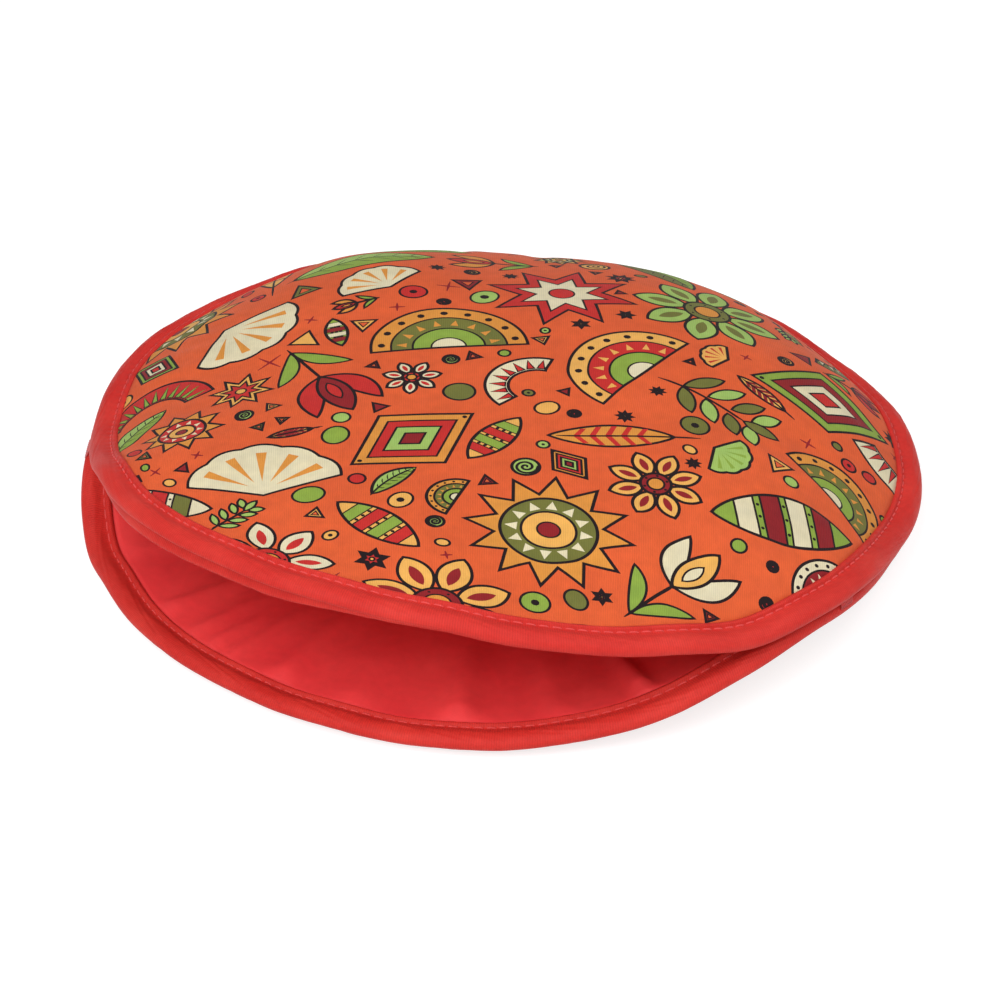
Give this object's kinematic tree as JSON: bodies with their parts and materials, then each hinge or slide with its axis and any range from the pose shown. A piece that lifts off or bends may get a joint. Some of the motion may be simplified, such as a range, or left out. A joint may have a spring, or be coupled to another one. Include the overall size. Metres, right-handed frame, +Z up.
{
  "type": "tortilla warmer",
  "caption": "Round padded fabric pouch with a domed printed top, a dished bottom, bound edges and a mouth along the front whose upper lip lifts.",
  "frame": {"origin": "middle of the pouch's plan, on the table", "axes": "+Z up; -Y out of the middle of the mouth; +X to the right seen from in front of the mouth"},
  "size_m": [0.301, 0.301, 0.061],
  "materials": {
    "printed_cloth": "plain woven cotton with an all-over print, matte",
    "batting": "soft polyester padding",
    "lining_cloth": "smooth plain cloth, low sheen",
    "binding_tape": "ribbed tape, low sheen",
    "thread": "spun sewing thread"
  },
  "bodies": {
    "pouch": {"top_cover_rear": "printed_cloth", "top_cover_fold": "printed_cloth", "top_batting_rear": "batting", "top_batting_fold": "batting", "top_lining_rear": "lining_cloth", "top_lining_fold": "lining_cloth", "top_binding_rear": "binding_tape", "top_binding_fold": "binding_tape", "top_needle_thread_rear": "thread", "top_needle_thread_fold": "thread", "top_bobbin_thread_rear": "thread", "top_bobbin_thread_fold": "thread", "bottom_cover": "printed_cloth", "bottom_batting": "batting", "bottom_lining": "lining_cloth", "bottom_binding": "binding_tape", "bottom_needle_thread": "thread", "bottom_bobbin_thread": "thread", "joining_seam_thread": "thread", "bar_tack_left": "thread", "bar_tack_right": "thread"},
    "front_flap": {"top_cover_flap": "printed_cloth", "top_batting_flap": "batting", "top_lining_flap": "lining_cloth", "top_binding_flap": "binding_tape", "top_needle_thread_flap": "thread", "top_bobbin_thread_flap": "thread"}
  },
  "joints": [
    {"name": "mouth_fold", "type": "hinge", "parent": "pouch", "child": "front_flap", "pos_m": [0, -0.05147, 0.038], "axis": [-1, 0, 0], "range_deg": [0, 45], "deforming": ["top_cover_fold", "top_batting_fold", "top_lining_fold", "top_binding_fold", "top_needle_thread_fold", "top_bobbin_thread_fold"]}
  ]
}
